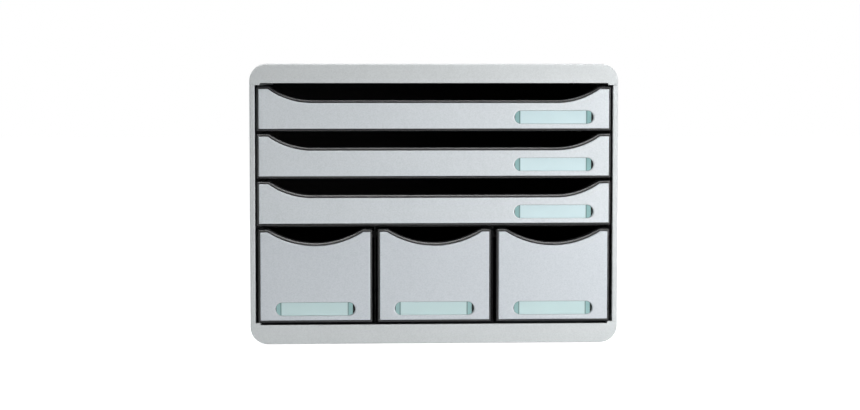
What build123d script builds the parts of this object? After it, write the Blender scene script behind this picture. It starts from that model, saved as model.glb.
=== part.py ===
"""Desk drawer cabinet: a silver moulded casing round a black inner frame, with three wide drawers
over three small ones.

The origin is on the table under the middle of the cabinet. X runs to the right as seen from the
front, Y from front to back, Z up. All sizes are in millimetres.
"""

import os
from math import sqrt

from build123d import *

# ---------------------------------------------------------------- casing sizes
width = 355.0
depth = 270.0
casing_height = 270.0
skin = 2.2  # wall of the covers and side panels
fit = 0.2  # clearance where one moulding plugs into another
past = 1.0  # how far a cutting shape runs past what it cuts
near = 0.01  # how close an edge lies to the plane that it is picked by

cover_height = 18.5  # front strip of each cover
cover_side_rise = 1.9  # how much further the covers reach at their left and right ends
cover_corner_radius = 16.5
cover_edge_break = 1.0
strip_edge_break = 0.4
seam_break = 0.3  # V-groove where a cover meets a side panel
groove_rib = 2.5  # rib that closes the groove where the side walls plug in
plug_overrun = 1.0  # the plugged walls reach this far past the start of the round corner
cover_rib = 2.0
cover_rib_count = 3  # stiffening ribs each way

panel_edge = 5.0  # side panel as seen from the front
panel_inner_break = 0.5
panel_frame = 6.0  # thickened border round the inside of a side panel
panel_rib = 2.0
panel_rib_count = 3

back_thickness = 2.0
back_border = 14.0
back_field_depth = 0.8

liner = 1.8  # floor and ceiling panels
shelf_thickness = 2.0
shelf_clearance = 0.1  # top of the shelf below the lower edge of the wide front above it
wall_setback = 3.0  # shelf, runner walls and dividers behind the finger lips
web = 2.0  # runner walls and dividers
tab_length = 20.0
tab_count = 2

foot_radius = 6.0
foot_thickness = 3.0
foot_proud = 1.0
foot_inset_x = 30.0
foot_inset_y = 28.0
foot_boss_wall = 2.5

# ---------------------------------------------------------------- drawer sizes
wide_front_height = 43.25
front_gap = 2.4  # between one wide drawer front and the next
top_gap = 3.0  # between the upper drawer front and the top cover
shelf_gap = 3.1  # between the wide and the small drawer fronts
bottom_gap = 1.9
wide_side_gap = 1.4  # between a wide front and the side panels
small_front_gap = 4.8  # between two small fronts
small_end_gap = 2.5  # between the outer small fronts and the side panels

front_recess = 1.0  # black rim behind the front of the casing
rim_side = 2.1  # outside of the black rim to the silver plate, left and right
rim_bottom = 2.4
rim_top = 2.7
rim_corner = 1.6
rim_edge_break = 1.1
backing = 2.0  # wall behind the silver plate
plate_thickness = 2.6
plate_proud = 0.4
plate_gap = 0.45  # dark groove round the plate
plate_edge_break = 0.6

scoop_depth = 13.5
wide_scoop_radius = 72.4
wide_shoulder = 8.9  # straight part of a wide plate's top edge beside the scoop
small_shoulder = 7.0  # the same on a small plate, whose scoop is a single arc
lip_depth = 13.0
lip_thickness = 2.0
lip_curl = 2.6  # how far the back of the finger lip turns down

label_length = 76.8
label_height = 12.9
label_rise = 11.0  # middle of the label above the plate's bottom edge
label_side = 15.1  # end of a wide drawer's label from the plate's right edge
label_left_gap = 0.7  # half-moon gap left of the clear cover
label_right_gap = 2.4  # half-moon gap on its right, where a fingernail lifts it out
label_sunk = 0.8
label_bevel_width = 1.0  # sloped edge round the opening, seen from the front
label_bevel_depth = 0.5
card_margin = 4.8  # from each end of the clear cover to the card
card_thickness = 0.3

tray_wall = 1.8
tray_corner = 5.0
tray_bottom_break = 2.4
tray_lift = 1.0  # underside of the tray above the bottom edge of its front
wide_tray_top = 39.0  # top of the side walls above the bottom edge of the front
small_tray_below = 5.8  # top of the side walls below the top edge of a small front
tray_rear_gap = 6.0

# ---------------------------------------------------------------- runner sizes
runner_width = 4.4  # from tray wall to runner wall
runner_rib_gap = 1.0  # from the ribs to the tray wall
runner_rib = 2.0
flange_width = 3.0
flange_thickness = 1.8
flange_gap = 0.3  # flange above the rib that carries it
flange_play = 0.6  # flange below the rib that keeps the drawer level
close_gap = 0.3  # end of a shut drawer's flange from the block that it shuts against
stop_gap = 0.4
stop_length = 3.0
runner_setback = 1.0  # runner ribs behind the front edge of their wall
ear_length = 4.0
travel = 180.0

# ---------------------------------------------------------------- levels and planes
casing_low = foot_proud
casing_high = foot_proud + casing_height
half_width = width / 2
front_y = -depth / 2
back_y = depth / 2
opening_low = casing_low + cover_height
opening_high = casing_high - cover_height
side_low = opening_low + cover_side_rise
side_high = opening_high - cover_side_rise

small_front_height = (
    opening_high - opening_low - bottom_gap - top_gap - shelf_gap - 3 * wide_front_height - 2 * front_gap
)
small_front_low = opening_low + bottom_gap
lower_front_low = small_front_low + small_front_height + shelf_gap
row_pitch = wide_front_height + front_gap

rim_y = front_y + front_recess
plate_y = rim_y - plate_proud
backing_y = plate_y + plate_thickness
tray_inside_y = backing_y + backing
lip_back_y = rim_y + lip_depth
wall_front_y = lip_back_y + wall_setback
back_panel_y = back_y - skin - back_thickness
frame_back_y = back_panel_y - fit
tray_back_y = back_panel_y - tray_rear_gap
flange_back_y = tray_back_y - tray_corner

panel_inner_x = half_width - panel_edge
bay_half = panel_inner_x - web
groove_x = bay_half - fit
groove_inner_x = groove_x - groove_rib

small_bay = (2 * bay_half - 2 * web) / 3
small_pitch = small_bay + web
divider_x = small_pitch / 2
small_front_width = (2 * panel_inner_x - 2 * small_end_gap - 2 * small_front_gap) / 3
small_front_shift = small_front_width + small_front_gap - small_pitch  # outer fronts off their bays' middle

shelf_high = lower_front_low - shelf_clearance
shelf_low = shelf_high - shelf_thickness
floor_high = opening_low
floor_low = floor_high - liner
plug_depth = cover_height + cover_side_rise - cover_corner_radius + plug_overrun

runner_front_y = wall_front_y + runner_setback
stop_back_y = runner_front_y + stop_length
ear_y = stop_back_y + travel + fit


# ---------------------------------------------------------------- the six drawers
class Drawer:
    """Where one drawer is and how large its front and its bay are."""

    def __init__(self, name, x, front_x, front_low, front_width, front_height, bay, tray_high, scoop, label_x):
        self.name = name
        self.x = x
        self.front_x = front_x
        self.front_low = front_low
        self.front_half = front_width / 2
        self.front_high = front_low + front_height
        self.tray_half = bay - runner_width
        self.tray_low = front_low + tray_lift
        self.tray_high = tray_high
        self.scoop_radius, self.scoop_reach = scoop
        self.label_x = label_x
        self.label_z = front_low + rim_bottom + label_rise


def scoop_half_chord(radius):
    """Half the width of a scoop of that radius and of the common depth, at the plate's top edge."""
    return sqrt(radius**2 - (radius - scoop_depth) ** 2)


def scoop_radius(half_chord):
    """Radius of a scoop of the common depth that is this wide, half across, at the plate's top edge."""
    return (half_chord**2 + scoop_depth**2) / (2 * scoop_depth)


def wide_drawer(name, row):
    """A drawer across the whole bay; row 0 is the lowest of the three."""
    front_width = 2 * (panel_inner_x - wide_side_gap)
    plate_half = front_width / 2 - rim_side
    low = lower_front_low + row * row_pitch
    reach = plate_half - wide_shoulder - scoop_half_chord(wide_scoop_radius)
    label_x = plate_half - label_side - label_length / 2
    return Drawer(name, 0.0, 0.0, low, front_width, wide_front_height, bay_half, low + wide_tray_top,
                  (wide_scoop_radius, reach), label_x)


def small_drawer(name, column):
    """A tall drawer in a third of the bay; column is -1, 0 or 1 from left to right."""
    x = column * small_pitch
    top = small_front_low + small_front_height
    scoop = (scoop_radius(small_front_width / 2 - rim_side - small_shoulder), 0.0)
    return Drawer(name, x, x + column * small_front_shift, small_front_low, small_front_width,
                  small_front_height, small_bay / 2, top - small_tray_below, scoop, 0.0)


drawers = [
    wide_drawer("wide_top", 2),
    wide_drawer("wide_middle", 1),
    wide_drawer("wide_lower", 0),
    small_drawer("small_left", -1),
    small_drawer("small_centre", 0),
    small_drawer("small_right", 1),
]


# ---------------------------------------------------------------- shape helpers
def block(x0, x1, y0, y1, z0, z1):
    """A box between two corners."""
    return Pos((x0 + x1) / 2, (y0 + y1) / 2, (z0 + z1) / 2) * Box(x1 - x0, y1 - y0, z1 - z0)


def rectangle(x0, x1, z0, z1):
    """A rectangle drawn in X and Z."""
    return Pos((x0 + x1) / 2, (z0 + z1) / 2) * Rectangle(x1 - x0, z1 - z0)


def across(profile, y0, y1):
    """A profile drawn in X and Z, carried through from y0 back to y1."""
    return Pos(0, y1, 0) * extrude(Plane.XZ * profile, y1 - y0)


def evenly(count, low, high):
    """That many places spaced evenly between two ends, none at an end."""
    step = (high - low) / (count + 1)
    return [low + step * (i + 1) for i in range(count)]


# ---------------------------------------------------------------- covers
def cover_profile(inset):
    """Cross-section of the bottom cover with its round lower corners, inset from the outer surface."""
    half = half_width - inset
    outline = rectangle(-half, half, casing_low + inset, side_low)
    lower_corners = outline.vertices().group_by(Axis.Y)[0]
    return fillet(lower_corners, cover_corner_radius - inset)


def bottom_cover_shell():
    """Tub with round corners, a groove each side for the walls and ribs that carry the floor."""
    outer = across(cover_profile(0), front_y, back_y)
    ends = outer.faces().sort_by(Axis.Y)
    outline_edges = [e for face in (ends[0], ends[-1]) for e in face.edges()]
    lower_edges = [e for e in outline_edges if e.center().Z < side_low - near]
    outer = chamfer(lower_edges, cover_edge_break)
    outer = chamfer(outer.faces().sort_by(Axis.Z)[-1].edges(), seam_break)
    shell = outer - across(cover_profile(skin), front_y + skin, back_y - skin)
    shell -= block(-groove_inner_x, groove_inner_x, front_y - past, back_y + past, opening_low, side_low + past)

    front_in = front_y + skin
    ribs = []
    for side in (-1, 1):
        x0, x1 = sorted((side * groove_inner_x, side * groove_x))
        ribs.append(block(x0, x1, front_in, frame_back_y, casing_low, side_low))
    for x in evenly(cover_rib_count, -groove_inner_x, groove_inner_x):
        ribs.append(block(x - cover_rib / 2, x + cover_rib / 2, front_in, frame_back_y, casing_low + skin / 2, floor_low))
    for y in evenly(cover_rib_count, front_in, frame_back_y):
        ribs.append(block(-groove_x, groove_x, y - cover_rib / 2, y + cover_rib / 2, casing_low + skin / 2, floor_low))
    ribs.append(block(-groove_x, groove_x, frame_back_y, back_y - skin, casing_low + skin / 2, side_low - plug_depth))
    for rib in ribs:
        shell += rib & outer

    strip_edges = [
        e for e in shell.edges().filter_by(Axis.X)
        if abs(e.center().Z - opening_low) < near and min(e.center().Y - front_y, back_y - e.center().Y) < near
    ]
    return chamfer(strip_edges, strip_edge_break)


def foot_places():
    """Middle of each foot under the bottom cover, with its name."""
    x = half_width - foot_inset_x
    y = back_y - foot_inset_y
    return {"front_left": (-x, -y), "front_right": (x, -y), "back_left": (-x, y), "back_right": (x, y)}


def bottom_cover():
    """The bottom cover with a pocket for each rubber foot."""
    shell = bottom_cover_shell()
    pocket_radius = foot_radius + fit
    pocket_high = foot_thickness
    boss_high = pocket_high + skin
    boss_half = pocket_radius + foot_boss_wall
    for x, y in foot_places().values():
        shell += block(x - boss_half, x + boss_half, y - boss_half, y + boss_half, casing_low + skin / 2, boss_high)
        shell -= Pos(x, y, pocket_high / 2) * Cylinder(pocket_radius, pocket_high)
    return shell


def top_cover():
    """The same moulding turned over, without the pockets."""
    middle = Plane.XY.offset((casing_low + casing_high) / 2)
    return mirror(bottom_cover_shell(), about=middle)


def foot(x, y):
    """Round rubber pad pressed into its pocket."""
    return Pos(x, y, foot_thickness / 2) * Cylinder(foot_radius, foot_thickness)


# ---------------------------------------------------------------- side panels and back
def right_side_panel():
    """Silver side panel: a flat skin with a thicker border, ribs and a tongue for each cover."""
    skin_x = half_width - skin
    panel = block(panel_inner_x, half_width, front_y, back_y, side_low, side_high)
    panel = chamfer(panel.edges().filter_by(Axis.Z).sort_by(Axis.X)[-2:], cover_edge_break)
    panel = chamfer(panel.edges().filter_by(Axis.Z).sort_by(Axis.X)[:2], panel_inner_break)
    for end in (panel.faces().sort_by(Axis.Z)[0], panel.faces().sort_by(Axis.Z)[-1]):
        outer_edges = [e for e in end.edges() if e.center().X > panel_inner_x + near]
        panel = chamfer(outer_edges, seam_break)
    panel -= block(
        panel_inner_x - past, skin_x, front_y + panel_frame, back_y - panel_frame,
        side_low + panel_frame, side_high - panel_frame,
    )
    for y in evenly(panel_rib_count, front_y, back_y):
        panel += block(panel_inner_x, skin_x, y - panel_rib / 2, y + panel_rib / 2, side_low, side_high)
    for low, high in ((side_low - plug_depth, side_low), (side_high, side_high + plug_depth)):
        panel += block(panel_inner_x, skin_x - fit, front_y + skin + fit, frame_back_y, low, high)
    return panel


def back_panel():
    """Flat back held behind the floor and ceiling, with a slightly sunken field on the outside."""
    half = panel_inner_x - fit
    low = side_low - plug_depth
    high = side_high + plug_depth
    panel = block(-half, half, back_panel_y, back_y - skin, low, high)
    field = rectangle(-half + back_border, half - back_border, opening_low + back_border, opening_high - back_border)
    return panel - across(field, back_y - skin - back_field_depth, back_y)


# ---------------------------------------------------------------- black inner frame
def tab_places():
    """Middle of each tab along the depth."""
    return evenly(tab_count, wall_front_y, frame_back_y)


def tab_slots(low, high):
    """Slots for the tabs of both dividers, through a panel between two levels."""
    slots = []
    for side in (-1, 1):
        for y in tab_places():
            x = side * divider_x
            reach = web / 2 + fit
            half = tab_length / 2 + fit
            slots.append(block(x - reach, x + reach, y - half, y + half, low - past, high + past))
    return slots


def floor_panel():
    """Floor of the small drawers' bays, lying on the ribs of the bottom cover."""
    half = groove_inner_x - fit
    panel = block(-half, half, front_y + skin + fit, frame_back_y, floor_low, floor_high)
    for slot in tab_slots(floor_low, floor_high):
        panel -= slot
    return panel


def ceiling_panel():
    """The same panel without slots, under the ribs of the top cover."""
    half = groove_inner_x - fit
    return block(-half, half, front_y + skin + fit, frame_back_y, opening_high, opening_high + liner)


def shelf():
    """Shelf over the small drawers, carried by the runner walls and the dividers."""
    half = bay_half - fit
    panel = block(-half, half, wall_front_y, frame_back_y, shelf_low, shelf_high)
    panel = fillet(panel.edges().filter_by(Axis.X).sort_by(Axis.Y)[:2], shelf_thickness / 3)
    for slot in tab_slots(shelf_low, shelf_high):
        panel -= slot
    return panel


def runner_channel(face_x, towards, tray_high):
    """Two ribs that guide a drawer's flange on the wall face at face_x, and the stops between them.

    towards is +1 where the drawer lies on the +X side of the face, -1 where it lies on the other.
    """
    rib_reach = runner_width - runner_rib_gap
    stop_reach = runner_width - flange_width - stop_gap
    carry_high = tray_high - flange_thickness - flange_gap
    guide_low = tray_high + flange_play
    rib_y = (runner_front_y, frame_back_y - tray_rear_gap)
    stop_y = (runner_front_y, stop_back_y)
    shut_y = (flange_back_y + close_gap, frame_back_y - tray_rear_gap)
    pieces = []
    for reach, (y0, y1), z0, z1 in (
        (rib_reach, rib_y, carry_high - runner_rib, carry_high),
        (rib_reach, rib_y, guide_low, guide_low + runner_rib),
        (stop_reach, stop_y, carry_high, guide_low),
        (rib_reach, shut_y, carry_high, guide_low),
    ):
        x0, x1 = sorted((face_x, face_x + towards * reach))
        pieces.append(block(x0, x1, y0, y1, z0, z1))
    return pieces


def right_runner_wall():
    """Black wall inside the right side panel, with a runner for each row and a rib for the shelf."""
    wall = block(bay_half, panel_inner_x, wall_front_y, frame_back_y, side_low - plug_depth, side_high + plug_depth)
    for tray_high in sorted({d.tray_high for d in drawers}):
        for piece in runner_channel(bay_half, -1, tray_high):
            wall += piece
    rib_reach = runner_width - runner_rib_gap
    wall += block(bay_half - rib_reach, bay_half, wall_front_y, frame_back_y, shelf_low - runner_rib, shelf_low)
    return wall


def right_divider():
    """Upright wall between two small drawers, with a runner on each face and tabs top and bottom."""
    tray_high = drawers[-1].tray_high
    wall = block(divider_x - web / 2, divider_x + web / 2, wall_front_y, frame_back_y, floor_high, shelf_low)
    for face_x, towards in ((divider_x - web / 2, -1), (divider_x + web / 2, 1)):
        for piece in runner_channel(face_x, towards, tray_high):
            wall += piece
    for y in tab_places():
        for low, high in ((floor_high - liner + fit, floor_high), (shelf_low, shelf_high - fit)):
            half = tab_length / 2
            wall += block(divider_x - web / 2, divider_x + web / 2, y - half, y + half, low, high)
    return wall


# ---------------------------------------------------------------- drawer pieces
def front_outline(d, side, bottom, top):
    """Outline of a drawer front with its scoop, inset from the outside of the black rim."""
    half = d.front_half - side
    high = d.front_high - top
    outline = rectangle(-half, half, d.front_low + bottom, high)
    radius = d.scoop_radius - rim_top + top
    centre_z = d.front_high - rim_top - scoop_depth + d.scoop_radius
    for x in sorted({-d.scoop_reach, d.scoop_reach}):
        outline -= Pos(x, centre_z) * Circle(radius)
    if d.scoop_reach > 0:
        outline -= rectangle(-d.scoop_reach, d.scoop_reach, centre_z - radius, centre_z)
    return outline


def tray_body(d):
    """The tray behind its front: floor, two sides and back, with sloped edges along the floor."""
    solids = []
    for inset, front in ((0.0, tray_inside_y), (tray_wall, tray_inside_y - past)):
        half = d.tray_half - inset
        high = d.tray_high + (past if inset else 0.0)
        box = block(-half, half, front, tray_back_y - inset, d.tray_low + inset, high)
        rear_uprights = box.edges().filter_by(Axis.Z).sort_by(Axis.Y)[-2:]
        box = chamfer(rear_uprights, tray_corner - inset)
        floor_edges = [e for e in box.faces().sort_by(Axis.Z)[0].edges() if e.center().Y > front + near]
        solids.append(chamfer(floor_edges, tray_bottom_break - inset / 2))
    return solids[0] - solids[1]


def tray(d):
    """Black drawer tray with its front frame, finger lip, side flanges and stop ears."""
    rim = front_outline(d, 0, 0, 0)
    rim = fillet([v for v in rim.vertices() if abs(v.X) > d.front_half - near], rim_corner)
    pocket = front_outline(d, rim_side - plate_gap, rim_bottom - plate_gap, rim_top - plate_gap)
    front = across(rim, rim_y, tray_inside_y)
    top_band = rim - Pos(0, -lip_thickness) * rim
    curl_band = rim - Pos(0, -lip_thickness - lip_curl) * rim
    front += across(top_band, rim_y, lip_back_y)
    front += across(curl_band, lip_back_y - lip_thickness, lip_back_y)
    front = chamfer(front.faces().sort_by(Axis.Y)[0].edges(), rim_edge_break)
    front -= across(pocket, rim_y - past, backing_y)

    shape = Pos(d.front_x - d.x, 0, 0) * front + tray_body(d)
    flange_low = d.tray_high - flange_thickness
    for side in (-1, 1):
        x0, x1 = sorted((side * (d.tray_half - tray_wall / 2), side * (d.tray_half + flange_width)))
        shape += block(x0, x1, tray_inside_y - backing / 2, flange_back_y, flange_low, d.tray_high)
        ear_reach = d.tray_half + runner_width - stop_gap
        x0, x1 = sorted((side * (d.tray_half + flange_width / 2), side * ear_reach))
        shape += block(x0, x1, ear_y, ear_y + ear_length, flange_low, d.tray_high)
    return Pos(d.x, 0, 0) * shape


def label_ends(d, margin):
    """Left and right ends of the clear cover of a label, moved in by a margin."""
    left = d.label_x - label_length / 2 + label_left_gap + margin
    right = d.label_x + label_length / 2 - label_right_gap - margin
    return left, right


def front_plate(d):
    """Silver plate set into the black rim, with rounded edges and the label opening."""
    plate = across(front_outline(d, rim_side, rim_bottom, rim_top), plate_y, backing_y)
    plate = chamfer(plate.faces().sort_by(Axis.Y)[0].edges(), plate_edge_break)
    plate -= across(Pos(d.label_x, d.label_z) * SlotOverall(label_length, label_height), plate_y - past, backing_y)
    face = plate.faces().sort_by(Axis.Y)[0]
    opening_edges = face.inner_wires()[0].edges()
    plate = chamfer(opening_edges, label_bevel_width, label_bevel_depth, reference=face)
    return Pos(d.front_x, 0, 0) * plate


def label_cover(d):
    """Clear strip snapped into the label opening, cut off straight at both ends, hollow for the card."""
    opening = Pos(d.label_x, d.label_z) * SlotOverall(label_length - 2 * fit, label_height - 2 * fit)
    left, right = label_ends(d, 0)
    low = d.label_z - label_height / 2
    high = d.label_z + label_height / 2
    strip = across(opening & rectangle(left, right, low, high), plate_y + label_sunk, backing_y)
    left, right = label_ends(d, card_margin - fit)
    strip -= block(left, right, backing_y - card_thickness, backing_y + past, low, high)
    return Pos(d.front_x, 0, 0) * strip


def label_card(d):
    """Paper card between the clear strip and the tray's backing wall."""
    left, right = label_ends(d, card_margin)
    half = label_height / 2 - fit
    card = block(left, right, backing_y - card_thickness, backing_y, d.label_z - half, d.label_z + half)
    return Pos(d.front_x, 0, 0) * card


# ---------------------------------------------------------------- all pieces
def left_of(shape):
    """The mirror image of a right-hand piece."""
    return mirror(shape, about=Plane.YZ)


def pieces():
    """Every piece of the cabinet by name."""
    made = {
        "top_cover": top_cover(),
        "bottom_cover": bottom_cover(),
        "right_side_panel": right_side_panel(),
        "back_panel": back_panel(),
        "floor_panel": floor_panel(),
        "ceiling_panel": ceiling_panel(),
        "shelf": shelf(),
        "right_runner_wall": right_runner_wall(),
        "right_divider": right_divider(),
    }
    for name in ("side_panel", "runner_wall", "divider"):
        made[f"left_{name}"] = left_of(made[f"right_{name}"])
    for place, (x, y) in foot_places().items():
        made[f"foot_{place}"] = foot(x, y)
    for d in drawers:
        made[f"{d.name}_tray"] = tray(d)
        made[f"{d.name}_front_plate"] = front_plate(d)
        made[f"{d.name}_label_cover"] = label_cover(d)
        made[f"{d.name}_label_card"] = label_card(d)
    return made


os.makedirs("parts", exist_ok=True)
for name, shape in pieces().items():
    export_step(shape, f"parts/{name}.step")
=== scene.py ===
"""Looks of a desk drawer cabinet: a silver moulded casing, a black inner frame with runners, and six
drawers with silver front plates and clear label strips. Lengths are in metres."""

import math

import bmesh
import bpy
from mathutils import Matrix, Vector


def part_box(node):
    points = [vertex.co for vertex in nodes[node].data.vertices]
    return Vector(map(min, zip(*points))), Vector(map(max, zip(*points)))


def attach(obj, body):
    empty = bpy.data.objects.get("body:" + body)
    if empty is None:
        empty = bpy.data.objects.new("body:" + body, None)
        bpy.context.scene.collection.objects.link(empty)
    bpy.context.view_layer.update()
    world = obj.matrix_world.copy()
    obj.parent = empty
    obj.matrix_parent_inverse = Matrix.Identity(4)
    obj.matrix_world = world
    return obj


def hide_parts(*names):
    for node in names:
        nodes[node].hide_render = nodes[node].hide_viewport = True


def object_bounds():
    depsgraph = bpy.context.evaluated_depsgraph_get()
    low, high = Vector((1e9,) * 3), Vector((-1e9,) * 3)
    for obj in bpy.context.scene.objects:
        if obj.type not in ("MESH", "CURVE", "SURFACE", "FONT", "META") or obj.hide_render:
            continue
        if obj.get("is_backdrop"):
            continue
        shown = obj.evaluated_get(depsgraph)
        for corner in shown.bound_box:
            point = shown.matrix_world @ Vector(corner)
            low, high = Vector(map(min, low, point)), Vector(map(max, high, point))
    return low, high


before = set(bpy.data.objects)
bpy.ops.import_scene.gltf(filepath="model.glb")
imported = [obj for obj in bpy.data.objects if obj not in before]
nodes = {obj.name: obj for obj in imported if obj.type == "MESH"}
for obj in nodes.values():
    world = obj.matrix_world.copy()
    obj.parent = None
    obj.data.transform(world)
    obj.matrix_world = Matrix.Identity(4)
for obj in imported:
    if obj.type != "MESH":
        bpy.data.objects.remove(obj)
cad_low, cad_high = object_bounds()

# ---------------------------------------------------------------- silver casing
# The top and bottom covers and the two side panels are injection mouldings of polystyrene with
# aluminium pigment, from a mould with a fine spark-eroded grain. They plug into each other, and the
# seams between them are narrow V-grooves.

casing_edge = 0.00012  # rounding of the outer edges
flake_width = 0.0009
flow_length = 0.05  # of the faint clouds that the melt leaves as it fills the mould
flow_share = 0.35  # of the clouds in the tone, next to the flakes
grain_width = 0.0006
grain_depth = 0.00003
join_distance = 0.00001  # corners of triangles this close are one
flat_angle = math.radians(0.5)  # triangles that lie this flat are one face
edge_angle = math.radians(20)  # edges sharper than this are rounded


def linear(hex_colour):
    """The linear values, with alpha, of an sRGB colour such as #C8CDD0."""
    channels = [int(hex_colour[i:i + 2], 16) / 255 for i in (1, 3, 5)]
    return [c / 12.92 if c <= 0.04045 else ((c + 0.055) / 1.055) ** 2.4 for c in channels] + [1.0]


def add(tree, kind, settings=None, inputs=None):
    """Adds a node. Settings are its own options, inputs give each socket a value or what feeds it."""
    made = tree.nodes.new(kind)
    for name, value in (settings or {}).items():
        setattr(made, name, value)
    for name, value in (inputs or {}).items():
        if isinstance(value, bpy.types.NodeSocket):
            tree.links.new(value, made.inputs[name])
        else:
            made.inputs[name].default_value = value
    return made


def start_material(name):
    """An empty node material: its tree, and the object coordinates that its patterns read."""
    material = bpy.data.materials.new(name)
    material.use_nodes = True
    material.node_tree.nodes.clear()
    place = add(material.node_tree, "ShaderNodeTexCoord").outputs["Object"]
    return material, material.node_tree, place


# Satin silver polystyrene. The pigment flakes glint from cell to cell, and the grain blurs every
# reflection, so the flats look even and only the broken edges catch a line of light. Both are 0.05 mm
# wide in the real plastic, and are drawn 0.9 and 0.6 mm wide so that they show in the render.
def silver_plastic(name, dark, light):
    """Silver moulded plastic whose flakes run from one tone to another."""
    material, tree, place = start_material(name)
    flakes = add(tree, "ShaderNodeTexVoronoi", {}, {"Vector": place, "Scale": 1 / flake_width})
    flake = add(tree, "ShaderNodeSeparateColor", {}, {"Color": flakes.outputs["Color"]})
    flow = add(tree, "ShaderNodeTexNoise", {},
               {"Vector": place, "Scale": 1 / flow_length, "Detail": 2.0})
    tone = add(tree, "ShaderNodeMath", {"operation": "MULTIPLY_ADD"},
               {0: flow.outputs["Fac"], 1: flow_share, 2: flake.outputs["Red"]})
    colour = add(tree, "ShaderNodeValToRGB", {}, {"Fac": tone.outputs["Value"]})
    colour.color_ramp.elements[0].position = 0.1
    colour.color_ramp.elements[0].color = linear(dark)
    colour.color_ramp.elements[1].position = 1.0
    colour.color_ramp.elements[1].color = linear(light)
    gloss = add(tree, "ShaderNodeMapRange", {},
                {"Value": flake.outputs["Green"], "To Min": 0.4, "To Max": 0.48})
    grain = add(tree, "ShaderNodeTexNoise", {},
                {"Vector": place, "Scale": 1 / grain_width, "Detail": 3.0})
    relief = add(tree, "ShaderNodeBump", {},
                 {"Strength": 0.25, "Distance": grain_depth, "Height": grain.outputs["Fac"]})
    shader = add(tree, "ShaderNodeBsdfPrincipled", {}, {
        "Base Color": colour.outputs["Color"], "Metallic": 0.25, "Roughness": gloss.outputs["Result"],
        "Normal": relief.outputs["Normal"],
    })
    add(tree, "ShaderNodeOutputMaterial", {}, {"Surface": shader.outputs["BSDF"]})
    return material


def dress(name, material, edge, rounds=2, merge_flats=True):
    """Gives a CAD node its material, joins its triangles and rounds its edges by a width."""
    piece = nodes[name]
    piece.material_slots[0].material = material
    piece.data.shade_smooth()
    joined = piece.modifiers.new("joined", "WELD")
    joined.merge_threshold = join_distance
    if merge_flats:
        flats = piece.modifiers.new("flats", "DECIMATE")
        flats.decimate_type = "DISSOLVE"
        flats.angle_limit = flat_angle
    edges = piece.modifiers.new("edges", "BEVEL")
    edges.width = edge
    edges.segments = rounds
    edges.limit_method = "ANGLE"
    edges.angle_limit = edge_angle
    edges.use_clamp_overlap = False
    shading = piece.modifiers.new("shading", "WEIGHTED_NORMAL")
    shading.weight = 100


casing_silver = silver_plastic("satin silver polystyrene", "#BCC0C1", "#C5C9CA")
for name in ("top_cover", "bottom_cover", "left_side_panel", "right_side_panel"):
    dress(name, casing_silver, casing_edge)

# ---------------------------------------------------------------- back and inner frame
# The back panel, the floor and ceiling of the bays, the shelf, the runner walls and the dividers are
# black polystyrene mouldings, held in grooves and slots with no screws. They are seen through the
# gaps round the drawers and from behind.

frame_edge = 0.00015
cloud_length = 0.03
grain_gloss = 0.06  # how much rougher the grain makes the plastic in places
polished_to = cad_low.y + 0.0022  # just behind the front rims of the drawers
matt_from = cad_low.y + 0.0026

# Black polystyrene from the same kind of mould. The mould is polished where the drawer fronts show, so
# their edges catch a thin line of light, and its inside is spark-eroded, matt and near black.
black, tree, place = start_material("black polystyrene")
cloud = add(tree, "ShaderNodeTexNoise", {}, {"Vector": place, "Scale": 1 / cloud_length, "Detail": 2.0})
colour = add(tree, "ShaderNodeValToRGB", {}, {"Fac": cloud.outputs["Fac"]})
colour.color_ramp.elements[0].position = 0.3
colour.color_ramp.elements[0].color = linear("#0F1012")
colour.color_ramp.elements[1].position = 0.7
colour.color_ramp.elements[1].color = linear("#131416")
along = add(tree, "ShaderNodeSeparateXYZ", {}, {"Vector": place})
finish = add(tree, "ShaderNodeMapRange", {}, {
    "Value": along.outputs["Y"], "From Min": polished_to, "From Max": matt_from,
    "To Min": 0.22, "To Max": 0.75,
})
grain = add(tree, "ShaderNodeTexNoise", {}, {"Vector": place, "Scale": 1 / grain_width, "Detail": 3.0})
gloss = add(tree, "ShaderNodeMath", {"operation": "MULTIPLY_ADD"},
            {0: grain.outputs["Fac"], 1: grain_gloss, 2: finish.outputs["Result"]})
relief = add(tree, "ShaderNodeBump", {},
             {"Strength": 0.25, "Distance": grain_depth, "Height": grain.outputs["Fac"]})
shader = add(tree, "ShaderNodeBsdfPrincipled", {}, {
    "Base Color": colour.outputs["Color"], "Roughness": gloss.outputs["Value"], "IOR": 1.59,
    "Normal": relief.outputs["Normal"],
})
add(tree, "ShaderNodeOutputMaterial", {}, {"Surface": shader.outputs["BSDF"]})

for name in ("back_panel", "floor_panel", "ceiling_panel", "shelf",
             "left_runner_wall", "right_runner_wall", "left_divider", "right_divider"):
    dress(name, black, frame_edge)

# ---------------------------------------------------------------- rubber feet
# Four soft rubber pads, pressed into round pockets in the bottom cover. Each has a rounded rim and
# rings moulded into its underside, so that it grips the desk.

groove_middles = (0.36, 0.68)  # of the grooves between the rings, as shares of the pad's radius
groove_bottom = 0.03  # half the width of a groove's flat bottom, as such a share
groove_mouth = 0.08  # half the width of its mouth
groove_depth = 0.0004
rim_round = 0.0005  # height of the rounding at the pad's lower rim
rim_break = 0.0003  # height of the sloped edge at its upper rim
pad_sides = 48
skin_width = 0.0004
crisp_angle = math.radians(50)  # edges sharper than this aren't shaded round

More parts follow.
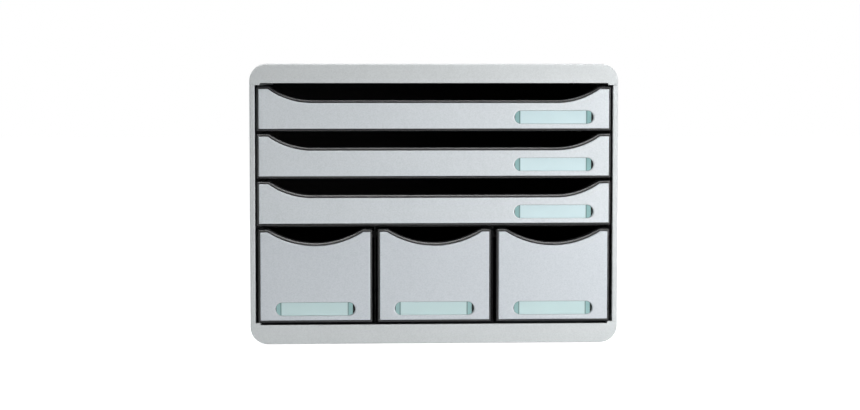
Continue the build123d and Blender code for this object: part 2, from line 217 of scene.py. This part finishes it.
# Black rubber as it comes from the press: matt, with a fine uneven skin of about 0.4 mm.
rubber, tree, place = start_material("black foot rubber")
skin = add(tree, "ShaderNodeTexNoise", {}, {"Vector": place, "Scale": 1 / skin_width, "Detail": 4.0})
colour = add(tree, "ShaderNodeValToRGB", {}, {"Fac": skin.outputs["Fac"]})
colour.color_ramp.elements[0].color = linear("#1A1A1B")
colour.color_ramp.elements[1].color = linear("#262627")
relief = add(tree, "ShaderNodeBump", {},
             {"Strength": 0.4, "Distance": 0.00005, "Height": skin.outputs["Fac"]})
shader = add(tree, "ShaderNodeBsdfPrincipled", {}, {
    "Base Color": colour.outputs["Color"], "Roughness": 0.8, "Normal": relief.outputs["Normal"],
})
add(tree, "ShaderNodeOutputMaterial", {}, {"Surface": shader.outputs["BSDF"]})


def keep(name, mesh, body, slot, material, *stands_for):
    """Makes an object of a finished bmesh that rides on a body and stands for CAD nodes."""
    data = bpy.data.meshes.new(name)
    mesh.to_mesh(data)
    mesh.free()
    data.materials.append(material)
    data.shade_smooth()
    piece = bpy.data.objects.new(name, data)
    bpy.context.scene.collection.objects.link(piece)
    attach(piece, body)
    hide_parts(*stands_for)
    crisp = piece.modifiers.new("crisp", "EDGE_SPLIT")
    crisp.split_angle = crisp_angle


for corner in ("front_left", "front_right", "back_left", "back_right"):
    low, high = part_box(f"foot_{corner}")
    middle = (low + high) / 2
    radius = (high.x - low.x) / 2
    height = high.z - low.z
    outline = [(0.0, 0.0)]
    for share in groove_middles:
        outline += [(share - groove_mouth, 0.0), (share - groove_bottom, groove_depth),
                    (share + groove_bottom, groove_depth), (share + groove_mouth, 0.0)]
    outline += [(0.92, 0.0), (0.975, 0.4 * rim_round), (1.0, rim_round),
                (1.0, height - rim_break), (0.95, height), (0.0, height)]
    pad = bmesh.new()
    points = [pad.verts.new((share * radius, 0.0, z)) for share, z in outline]
    for first, second in zip(points, points[1:]):
        pad.edges.new((first, second))
    bmesh.ops.spin(pad, geom=pad.verts[:] + pad.edges[:], cent=(0, 0, 0), axis=(0, 0, 1),
                   angle=math.tau, steps=pad_sides, use_merge=True)
    bmesh.ops.remove_doubles(pad, verts=pad.verts, dist=join_distance)
    bmesh.ops.recalc_face_normals(pad, faces=pad.faces)
    bmesh.ops.translate(pad, verts=pad.verts, vec=(middle.x, middle.y, low.z))
    keep(f"rubber_foot_{corner}", pad, "casing", "foot_rubber", rubber, f"foot_{corner}")

# ---------------------------------------------------------------- drawer trays
# Each drawer is one black moulding: the tray, the frame round its front, the finger lip that curls
# down behind the scoop, the flanges that run in the walls' channels, and the ears that stop it.

tray_edge = 0.0002

# A tray's long thin flats stay in triangles, because they shade unevenly as single faces.
for name in nodes:
    if name.endswith("_tray"):
        dress(name, black, tray_edge, 4, merge_flats=False)

# ---------------------------------------------------------------- front plates
# A silver plate of the same plastic as the casing snaps into each frame. It stands a little proud of
# the black rim behind a narrow dark groove, and its label opening has a sloped edge.

plate_edge = 0.0002

# The same satin silver in two more tones, a shade cooler than the casing.
wide_silver = silver_plastic("pale satin silver polystyrene", "#C0C6C9", "#CACFD3")
# The small plates' darker tone is painted shade, as less light falls on the lower row.
shaded_small_silver = silver_plastic("cool satin silver polystyrene with painted shade", "#B9BFC4", "#C3C8CD")

for name in nodes:
    if name.endswith("_front_plate"):
        dress(name, shaded_small_silver if name.startswith("small") else wide_silver, plate_edge, 3)

# ---------------------------------------------------------------- label cards
# A piece of nearly white card with a touch of blue-green lies behind each clear strip, cut on a
# guillotine with its corners slightly rounded. It is blank.

card_thickness = 0.00026
card_clearance = 0.00002  # from the tray's wall behind it
card_corner = 0.0006
fibre_width = 0.0007

# Uncoated 250 g card. Its fibres, about 0.1 mm wide, are drawn at 0.7 mm as a faint mottle.
paper, tree, place = start_material("pale blue green card")
fibres = add(tree, "ShaderNodeTexNoise", {},
             {"Vector": place, "Scale": 1 / fibre_width, "Detail": 5.0, "Roughness": 0.7})
colour = add(tree, "ShaderNodeValToRGB", {}, {"Fac": fibres.outputs["Fac"]})
colour.color_ramp.elements[0].position = 0.3
colour.color_ramp.elements[0].color = linear("#F6FAFB")
colour.color_ramp.elements[1].position = 0.7
colour.color_ramp.elements[1].color = linear("#FCFFFF")
relief = add(tree, "ShaderNodeBump", {},
             {"Strength": 0.3, "Distance": 0.00002, "Height": fibres.outputs["Fac"]})
shader = add(tree, "ShaderNodeBsdfPrincipled", {}, {
    "Base Color": colour.outputs["Color"], "Roughness": 0.85, "Normal": relief.outputs["Normal"],
})
add(tree, "ShaderNodeOutputMaterial", {}, {"Surface": shader.outputs["BSDF"]})

for name in list(nodes):
    if name.endswith("_label_card"):
        low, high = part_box(name)
        middle = (low + high) / 2
        size = high - low
        card = bmesh.new()
        bmesh.ops.create_grid(card, x_segments=1, y_segments=1, size=0.5)
        bmesh.ops.scale(card, verts=card.verts, vec=(size.x, size.z, 1.0))
        bmesh.ops.rotate(card, verts=card.verts, matrix=Matrix.Rotation(math.radians(90), 3, "X"))
        sheet = bmesh.ops.extrude_face_region(card, geom=card.faces[:])
        pulled = [part for part in sheet["geom"] if isinstance(part, bmesh.types.BMVert)]
        bmesh.ops.translate(card, verts=pulled, vec=(0.0, -card_thickness, 0.0))
        bmesh.ops.translate(card, verts=card.verts, vec=(middle.x, high.y - card_clearance, middle.z))
        uprights = [edge for edge in card.edges
                    if abs(edge.verts[0].co.y - edge.verts[1].co.y) > card_thickness / 2]
        bmesh.ops.bevel(card, geom=uprights, affect="EDGES", offset=card_corner, segments=4,
                        profile=0.5, material=-1)
        bmesh.ops.recalc_face_normals(card, faces=card.faces)
        drawer = name.removesuffix("_label_card")
        keep(f"{drawer}_paper_card", card, f"{drawer}_drawer", "label_paper", paper, name)

# ---------------------------------------------------------------- label strips
# A clear strip, tinted blue-green, snaps into each label opening over its card. It is cut off
# straight at both ends, which leaves a half-moon on the right to lift it out by.

strip_edge = 0.0001
# The line that these two place is a painted shadow of the card's cut edge.
line_inside = 0.0005  # how far the card's cut edge shows as a line inside its end
line_outside = 0.0013  # and outside it, by refraction in the thick strip
ripple_length = 0.012  # of the faint waves that the moulding leaves in the gloss


# Tinted polystyrene, moulded clear. Its colour is painted light and shade of what lies behind it: pale
# with light from the card, a deeper blue-green at the bare ends as painted shade from the black
# backing, and a thin painted shadow line at the card's cut edge between them.
def strip_plastic(name, painted_card_light, card_middle, card_half):
    """Clear tinted plastic, painted paler over a card of that place and half length along X."""
    material, tree, place = start_material(name)
    along = add(tree, "ShaderNodeSeparateXYZ", {}, {"Vector": place})
    offset = add(tree, "ShaderNodeMath", {"operation": "SUBTRACT"},
                 {0: along.outputs["X"], 1: card_middle})
    distance = add(tree, "ShaderNodeMath", {"operation": "ABSOLUTE"}, {0: offset.outputs["Value"]})
    bare = add(tree, "ShaderNodeMapRange", {}, {
        "Value": distance.outputs["Value"],
        "From Min": card_half - line_inside, "From Max": card_half + line_outside,
    })
    tint_and_painted_light = add(tree, "ShaderNodeValToRGB", {}, {"Fac": bare.outputs["Result"]})
    # Painted light over the card, a painted shadow line at its edge, and painted shade at the bare
    # ends.
    tint_and_painted_light.color_ramp.elements[0].color = linear(painted_card_light)
    tint_and_painted_light.color_ramp.elements[1].color = linear("#B2E4E4")
    for position in (0.3, 0.7):
        tint_and_painted_light.color_ramp.elements.new(position).color = linear("#86ABAB")
    clearness = add(tree, "ShaderNodeMapRange", {},
                    {"Value": bare.outputs["Result"], "To Min": 0.3, "To Max": 0.44})
    ripple = add(tree, "ShaderNodeTexNoise", {},
                 {"Vector": place, "Scale": 1 / ripple_length, "Detail": 1.0})
    gloss = add(tree, "ShaderNodeMapRange", {},
                {"Value": ripple.outputs["Fac"], "To Min": 0.03, "To Max": 0.07})
    shader = add(tree, "ShaderNodeBsdfPrincipled", {}, {
        "Base Color": tint_and_painted_light.outputs["Color"], "Roughness": gloss.outputs["Result"], "IOR": 1.59,
        "Transmission Weight": clearness.outputs["Result"],
    })
    add(tree, "ShaderNodeOutputMaterial", {}, {"Surface": shader.outputs["BSDF"]})
    return material


# The strips of the wide drawers lie one above the other and share one paler tone: painted light, as
# more light falls on them high on the right.
strips = {}
for name in list(nodes):
    if name.endswith("_label_cover"):
        drawer = name.removesuffix("_label_cover")
        strip_group, painted_card_light = (drawer, "#D8F1F2") if drawer.startswith("small") else ("wide", "#E6FBFF")
        if strip_group not in strips:
            low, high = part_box(f"{drawer}_label_card")
            strips[strip_group] = strip_plastic(f"clear blue green polystyrene {strip_group}", painted_card_light,
                                          (low.x + high.x) / 2, (high.x - low.x) / 2)
        dress(name, strips[strip_group], strip_edge)

# ---------------------------------------------------------------- studio
# A pale floor, a white sweep, a soft key lamp above on the right in front, a low one beside it, a long
# one above, two behind, and the camera where the photographer's stood.

floor_size = 6.0
ground = bpy.data.meshes.new("floor")
plane = bmesh.new()
bmesh.ops.create_grid(plane, x_segments=1, y_segments=1, size=floor_size)
plane.to_mesh(ground)
plane.free()
floor = bpy.data.objects.new("floor", ground)
bpy.context.scene.collection.objects.link(floor)
floor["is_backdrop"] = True

# White board: what the camera, gloss and glass see is lifted to white, but it keeps the shadow.
board_lift = 0.86
board, tree, _ = start_material("white board")
rays = add(tree, "ShaderNodeLightPath")
mirrored = add(tree, "ShaderNodeMath", {"operation": "MAXIMUM"},
               {0: rays.outputs["Is Camera Ray"], 1: rays.outputs["Is Glossy Ray"]})
seen = add(tree, "ShaderNodeMath", {"operation": "MAXIMUM"},
           {0: mirrored.outputs["Value"], 1: rays.outputs["Is Transmission Ray"]})
lift = add(tree, "ShaderNodeMath", {"operation": "MULTIPLY"}, {0: seen.outputs["Value"], 1: board_lift})
matt = add(tree, "ShaderNodeBsdfDiffuse", {}, {"Color": linear("#E6E6E6")})
glow = add(tree, "ShaderNodeEmission", {},
           {"Color": linear("#FFFFFF"), "Strength": lift.outputs["Value"]})
both = add(tree, "ShaderNodeAddShader", {}, {0: matt.outputs["BSDF"], 1: glow.outputs["Emission"]})
add(tree, "ShaderNodeOutputMaterial", {}, {"Surface": both.outputs["Shader"]})
ground.materials.append(board)

# The camera and glass see a white sweep all round, and gloss sees it behind the object and on the
# right. In front and on the left the room is darker, so that the black edges keep their contrast.
room_level = 0.2
surround = bpy.data.worlds.new("white sweep")
surround.use_nodes = True
bpy.context.scene.world = surround
tree = surround.node_tree
tree.nodes.clear()
rays = add(tree, "ShaderNodeLightPath")
direction = add(tree, "ShaderNodeTexCoord").outputs["Generated"]
towards = add(tree, "ShaderNodeSeparateXYZ", {}, {"Vector": direction})
behind = add(tree, "ShaderNodeMapRange", {"interpolation_type": "SMOOTHSTEP"}, {
    "Value": towards.outputs["Y"], "From Min": -0.3, "From Max": 0.6,
    "To Min": room_level, "To Max": 1.0,
})
right = add(tree, "ShaderNodeMapRange", {"interpolation_type": "SMOOTHSTEP"}, {
    "Value": towards.outputs["X"], "From Min": -0.1, "From Max": 0.25,
    "To Min": room_level, "To Max": 0.7,
})
sweep = add(tree, "ShaderNodeMath", {"operation": "MAXIMUM"},
            {0: behind.outputs["Result"], 1: right.outputs["Result"]})
mirrored = add(tree, "ShaderNodeMath", {"operation": "MULTIPLY"},
               {0: sweep.outputs["Value"], 1: rays.outputs["Is Glossy Ray"]})
direct = add(tree, "ShaderNodeMath", {"operation": "MAXIMUM"},
             {0: rays.outputs["Is Camera Ray"], 1: rays.outputs["Is Transmission Ray"]})
seen = add(tree, "ShaderNodeMath", {"operation": "MAXIMUM"},
           {0: direct.outputs["Value"], 1: mirrored.outputs["Value"]})
level = add(tree, "ShaderNodeMath", {"operation": "MAXIMUM"}, {0: seen.outputs["Value"], 1: room_level})
white = add(tree, "ShaderNodeBackground", {},
            {"Color": linear("#FFFFFF"), "Strength": level.outputs["Value"]})
add(tree, "ShaderNodeOutputWorld", {}, {"Surface": white.outputs["Background"]})

# Each lamp's name, place, aim, size and power.
for name, place, aim, size, watts in (
    ("long lamp above", (0.0, -0.215, 0.85), (0.0, -0.12, 0.2), (1.2, 0.05), 3.1),
    ("key lamp", (0.30, -0.95, 0.65), (0.03, -0.13, 0.14), (0.6, 0.45), 2.4),
    ("low lamp on the right", (0.62, -0.73, 0.15), (0.03, -0.13, 0.14), (0.35, 0.3), 3.2),
    ("lamp behind on the left", (-0.9, 0.35, 0.6), (0.0, 0.0, 0.14), (0.6, 0.6), 4.0),
    ("lamp behind on the right", (0.9, 0.45, 0.6), (0.0, 0.0, 0.14), (0.6, 0.6), 4.0),
):
    panel = bpy.data.lights.new(name, "AREA")
    panel.shape = "RECTANGLE"
    panel.size, panel.size_y = size
    panel.energy = watts
    lamp = bpy.data.objects.new(name, panel)
    lamp.location = place
    lamp.rotation_euler = (Vector(aim) - lamp.location).to_track_quat("-Z", "Y").to_euler()
    lamp.visible_camera = False
    bpy.context.scene.collection.objects.link(lamp)

# The camera stands 1.7 m off, a little to the left, and looks slightly down and to the right.
tilt_down = math.radians(2.72)
turn_right = math.radians(2.51)
lens = bpy.data.cameras.new("camera")
lens.lens = 69.73
lens.sensor_width = 36.0
lens.shift_y = -0.05
camera = bpy.data.objects.new("camera", lens)
camera.location = (-0.0746, -1.735, 0.2527)
camera.rotation_euler = (math.radians(90) - tilt_down, 0.0, -turn_right)
bpy.context.scene.collection.objects.link(camera)
bpy.context.scene.camera = camera

bpy.context.scene.view_settings.view_transform = "Standard"

low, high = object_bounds()
